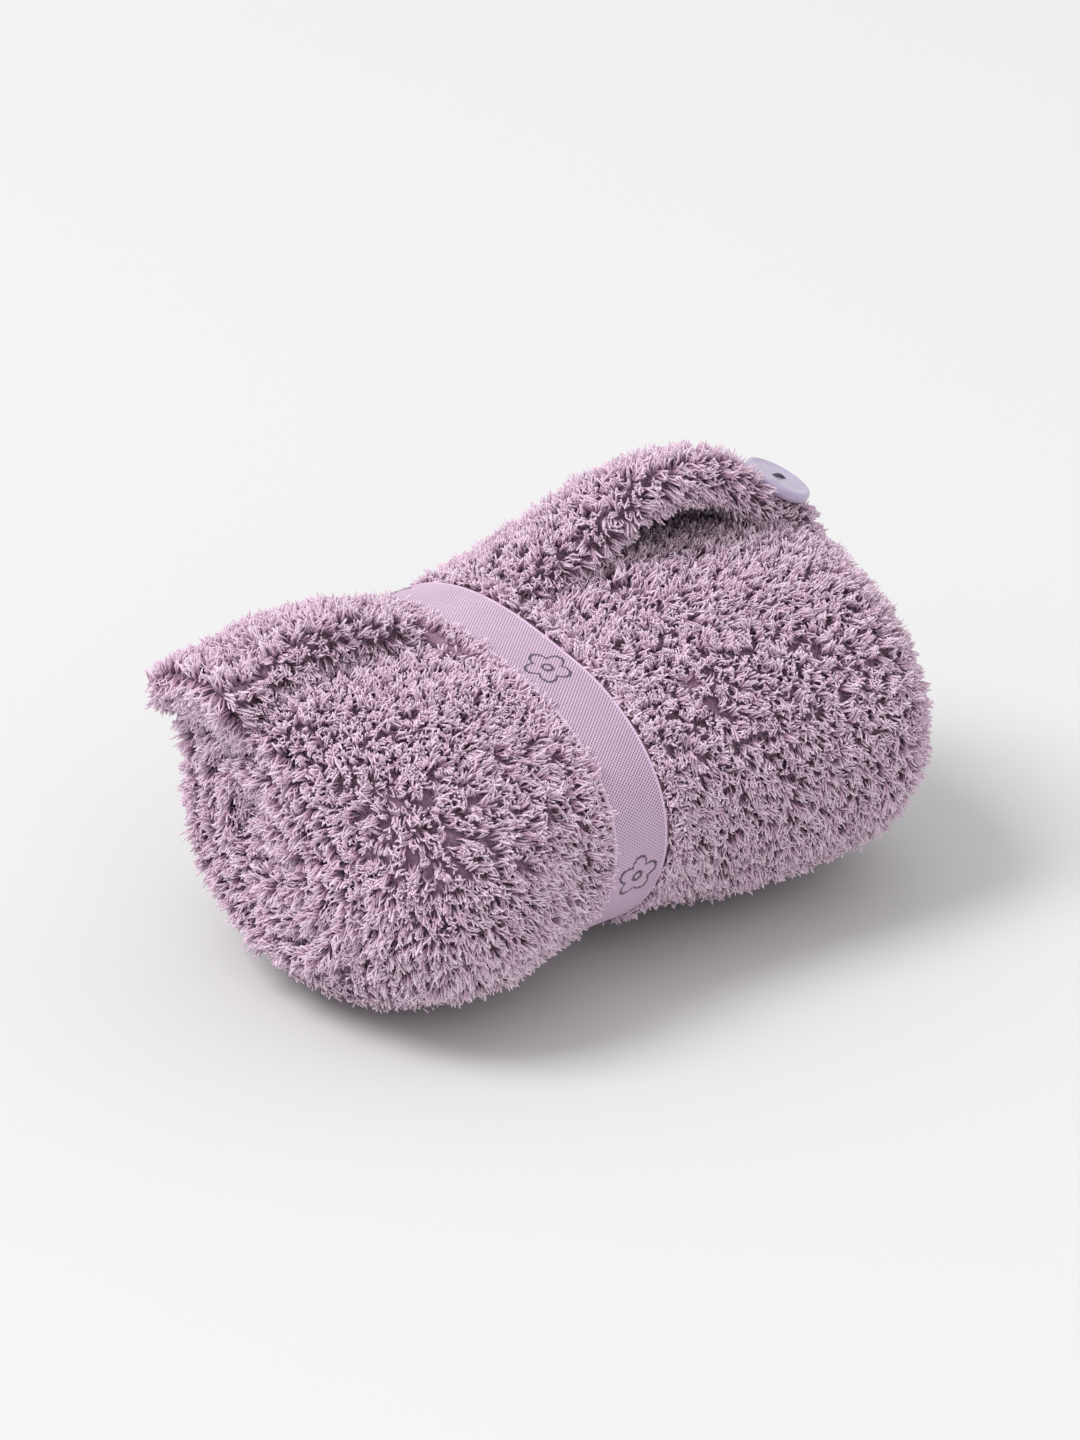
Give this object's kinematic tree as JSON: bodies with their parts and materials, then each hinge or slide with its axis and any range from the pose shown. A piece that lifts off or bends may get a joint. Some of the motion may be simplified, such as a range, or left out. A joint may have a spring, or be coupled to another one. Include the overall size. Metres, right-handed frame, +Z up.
{
  "type": "plush hair wrap headband",
  "caption": "Rolled plush spa hair wrap: a long soft strip wound into an oval roll, pinched at its middle by a woven elastic band, with a glossy sewn-on closing button.",
  "frame": {"origin": "middle of the bounding box's base, on the surface that the roll lies on", "axes": "+X along the roll towards the button end, +Y towards the back, where the free end is hinged, +Z up"},
  "size_m": [0.246, 0.166, 0.1463],
  "materials": {
    "plush": "long clumped pile",
    "lining": "long clumped pile",
    "hem": "overlocked thread",
    "elastic": "woven elastic",
    "thread": "twisted thread",
    "button": "gloss"
  },
  "bodies": {
    "wrap": {"outer_panel": "plush", "inner_panel": "lining", "core_fold": "lining", "left_side_hem": "hem", "right_side_hem": "hem"},
    "band": {"elastic_band": "elastic", "band_overlap": "elastic", "band_bar_tack": "thread"},
    "ear": {"ear_outer": "plush", "ear_inner": "lining", "ear_hem": "hem"},
    "button_flap": {"button_flap_outer": "plush", "button_flap_inner": "lining", "button_flap_hem": "hem"},
    "shank": {"thread_shank": "thread"},
    "button": {"button": "button", "button_thread": "thread"}
  },
  "joints": [
    {"name": "band_slide", "type": "slide", "parent": "wrap", "child": "band", "axis": [1, 0, 0], "range_m": [-0.004, 0.004]},
    {"name": "ear_lift", "type": "hinge", "parent": "wrap", "child": "ear", "pos_m": [-0.082, 0.06405, 0.0995], "axis": [-1, 0, 0], "range_deg": [0, 50]},
    {"name": "button_flap_lift", "type": "hinge", "parent": "wrap", "child": "button_flap", "pos_m": [0.06, 0.06405, 0.10569], "axis": [-1, 0, 0], "range_deg": [0, 60]},
    {"name": "button_tilt", "type": "hinge", "parent": "button_flap", "child": "shank", "pos_m": [0.10545, 0.0011, 0.12314], "axis": [-0.5382, -0.8428, 0], "range_deg": [-8, 8], "stiffness_Nm_per_rad": 0.01},
    {"name": "button_turn", "type": "hinge", "parent": "shank", "child": "button", "pos_m": [0.10749, -0.0002, 0.12761], "axis": [0.4018, -0.2566, 0.879], "range_deg": [-30, 30], "stiffness_Nm_per_rad": 0.003}
  ]
}
